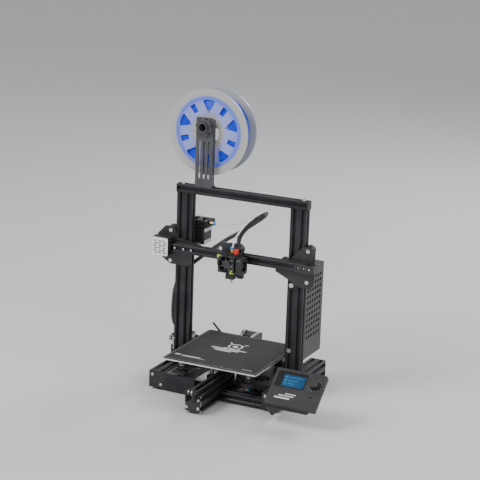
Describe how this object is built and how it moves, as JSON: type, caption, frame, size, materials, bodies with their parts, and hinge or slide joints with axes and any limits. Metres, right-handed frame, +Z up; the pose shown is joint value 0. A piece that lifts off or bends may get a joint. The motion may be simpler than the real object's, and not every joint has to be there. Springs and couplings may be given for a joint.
{
  "type": "filament printer",
  "caption": "Desktop filament 3D printer with an open black extrusion frame, sliding bed, lifting gantry, print head and a spool held on top.",
  "frame": {"origin": "middle of the footprint of everything except the loose tube and cables, at the level of the feet", "axes": "+X to the machine's right seen from the front, +Y to the back, +Z up"},
  "size_m": [0.494, 0.4241, 0.6904],
  "materials": {
    "black_extrusion": "satin",
    "black_sheet": "satin",
    "rubber_feet": "matte",
    "black_plastic": "matte",
    "screw_steel": "satin",
    "motor_body": "satin",
    "belt_rubber": "matte",
    "lead_steel": "polished",
    "pulley_metal": "satin",
    "supply_sheet": "satin",
    "switch_red": "gloss",
    "board_green": "satin",
    "screen": "gloss",
    "spool_white": "gloss",
    "filament_blue": "gloss",
    "bed_aluminium": "satin",
    "mat_surface": "textured",
    "spring_steel": "satin",
    "wheel_plastic": "satin",
    "gear_brass": "satin",
    "heat_metal": "satin",
    "tube_white": "satin",
    "cable_sleeve": "braided"
  },
  "bodies": {
    "frame": {"feet": "rubber_feet", "base_side_rails": "black_extrusion", "base_cross_bars": "black_extrusion", "bed_rail": "black_extrusion", "end_caps": "black_plastic", "uprights": "black_extrusion", "top_beam": "black_extrusion", "frame_screws": "screw_steel", "motor_brackets": "black_sheet", "height_switch": "black_plastic", "lead_screw_motor": "motor_body", "bed_motor": "motor_body", "bed_belt": "belt_rubber", "power_supply": "supply_sheet", "control_box_tray": "black_sheet", "control_box_lid": "black_sheet", "main_board": "board_green", "display_housing": "black_plastic", "display_screen": "screen", "spool_bracket": "black_sheet", "spool_tube": "black_plastic"},
    "gantry": {"gantry_plates": "black_sheet", "gantry_wheels": "wheel_plastic", "gantry_beam": "black_extrusion", "head_motor": "motor_body", "belt_tensioner": "black_sheet", "head_belt": "belt_rubber", "drive_cover": "black_plastic", "feeder_motor": "motor_body", "feeder_body": "black_plastic", "filament_tube": "tube_white", "head_cable": "cable_sleeve", "gantry_cable": "cable_sleeve"},
    "lead_screw": {"lead_screw": "lead_steel"},
    "head": {"head_plate": "black_sheet", "head_wheels": "wheel_plastic", "hot_end": "heat_metal", "head_shroud": "black_plastic", "part_blower": "black_plastic"},
    "head_drive_pulley": {"head_drive_pulley": "pulley_metal"},
    "head_idler_roller": {"head_idler_roller": "pulley_metal"},
    "bed": {"bed_carriage": "black_sheet", "heated_plate": "bed_aluminium", "print_mat": "mat_surface", "bed_springs": "spring_steel", "bed_wheels": "wheel_plastic"},
    "bed_drive_pulley": {"bed_drive_pulley": "pulley_metal"},
    "bed_idler_roller": {"bed_idler_roller": "pulley_metal"},
    "spool": {"spool": "spool_white", "filament": "filament_blue"},
    "switch_rocker": {"switch_rocker": "switch_red"},
    "encoder_stem": {"encoder_stem": "screw_steel"},
    "display_knob": {"display_knob": "black_plastic"},
    "feeder_lever": {"feeder_lever": "black_plastic"},
    "feeder_gear": {"feeder_gear": "gear_brass"},
    "head_fan_rotor": {"head_fan_rotor": "black_plastic"},
    "blower_rotor": {"blower_rotor": "black_plastic"},
    "level_knob_front_left": {"level_knob_front_left": "black_plastic"},
    "level_knob_front_right": {"level_knob_front_right": "black_plastic"},
    "level_knob_rear_left": {"level_knob_rear_left": "black_plastic"},
    "level_knob_rear_right": {"level_knob_rear_right": "black_plastic"}
  },
  "joints": [
    {"name": "gantry_lift", "type": "slide", "parent": "frame", "child": "gantry", "axis": [0, 0, 1], "range_m": [-0.1715, 0.076], "deforming": ["gantry_cable"]},
    {"name": "lead_screw_turn", "type": "hinge", "parent": "frame", "child": "lead_screw", "pos_m": [-0.1975, 0.0654, 0.25], "axis": [0, 0, 1], "continuous": true},
    {"name": "head_slide", "type": "slide", "parent": "gantry", "child": "head", "axis": [1, 0, 0], "range_m": [-0.112, 0.108], "deforming": ["filament_tube", "head_cable"]},
    {"name": "head_drive_turn", "type": "hinge", "parent": "gantry", "child": "head_drive_pulley", "pos_m": [-0.225, 0.0065, 0.317], "axis": [0, 1, 0], "continuous": true},
    {"name": "head_idler_turn", "type": "hinge", "parent": "gantry", "child": "head_idler_roller", "pos_m": [0.1495, 0.0065, 0.317], "axis": [0, 1, 0], "continuous": true},
    {"name": "bed_slide", "type": "slide", "parent": "frame", "child": "bed", "axis": [0, 1, 0], "range_m": [-0.136, 0.084]},
    {"name": "bed_drive_turn", "type": "hinge", "parent": "frame", "child": "bed_drive_pulley", "pos_m": [-0.0375, 0.191, 0.0528], "axis": [1, 0, 0], "continuous": true},
    {"name": "bed_idler_turn", "type": "hinge", "parent": "frame", "child": "bed_idler_roller", "pos_m": [-0.0375, -0.202, 0.0528], "axis": [1, 0, 0], "continuous": true},
    {"name": "spool_turn", "type": "hinge", "parent": "frame", "child": "spool", "pos_m": [-0.1345, 0.064, 0.5904], "axis": [0, 1, 0], "continuous": true},
    {"name": "switch_rock", "type": "hinge", "parent": "frame", "child": "switch_rocker", "pos_m": [0.1035, 0.155, 0.132], "axis": [1, 0, 0], "range_deg": [-10, 10]},
    {"name": "encoder_press", "type": "slide", "parent": "frame", "child": "encoder_stem", "axis": [0, 0.6441, -0.7649], "range_m": [0, 0.001], "stiffness_N_per_m": 2000, "springref_m": -0.0005},
    {"name": "display_knob_turn", "type": "hinge", "parent": "encoder_stem", "child": "display_knob", "pos_m": [0.227, -0.12576, 0.09481], "axis": [0, -0.6441, 0.7649], "continuous": true},
    {"name": "feeder_lever_open", "type": "hinge", "parent": "gantry", "child": "feeder_lever", "pos_m": [-0.1435, 0.059, 0.37], "axis": [0, 0, 1], "range_deg": [0, 6], "stiffness_Nm_per_rad": 2, "springref_deg": -11.46},
    {"name": "feeder_gear_turn", "type": "hinge", "parent": "gantry", "child": "feeder_gear", "pos_m": [-0.1655, 0.074, 0.37], "axis": [0, 0, 1], "continuous": true},
    {"name": "head_fan_turn", "type": "hinge", "parent": "head", "child": "head_fan_rotor", "pos_m": [-0.0365, -0.045, 0.312], "axis": [0, 1, 0], "continuous": true},
    {"name": "blower_turn", "type": "hinge", "parent": "head", "child": "blower_rotor", "pos_m": [-0.0055, -0.031, 0.308], "axis": [1, 0, 0], "continuous": true},
    {"name": "level_knob_front_left_turn", "type": "hinge", "parent": "bed", "child": "level_knob_front_left", "pos_m": [-0.1225, -0.086, 0.052], "axis": [0, 0, 1], "continuous": true},
    {"name": "level_knob_front_right_turn", "type": "hinge", "parent": "bed", "child": "level_knob_front_right", "pos_m": [0.0475, -0.086, 0.052], "axis": [0, 0, 1], "continuous": true},
    {"name": "level_knob_rear_left_turn", "type": "hinge", "parent": "bed", "child": "level_knob_rear_left", "pos_m": [-0.1225, 0.084, 0.052], "axis": [0, 0, 1], "continuous": true},
    {"name": "level_knob_rear_right_turn", "type": "hinge", "parent": "bed", "child": "level_knob_rear_right", "pos_m": [0.0475, 0.084, 0.052], "axis": [0, 0, 1], "continuous": true}
  ],
  "couplings": [
    {"joint": "lead_screw_turn", "follows": "gantry_lift", "rad_per_m": 785.4},
    {"joint": "head_drive_turn", "follows": "head_slide", "rad_per_m": 157.08},
    {"joint": "head_idler_turn", "follows": "head_slide", "rad_per_m": 157.08},
    {"joint": "bed_drive_turn", "follows": "bed_slide", "rad_per_m": -157.08},
    {"joint": "bed_idler_turn", "follows": "bed_slide", "rad_per_m": -157.08}
  ]
}
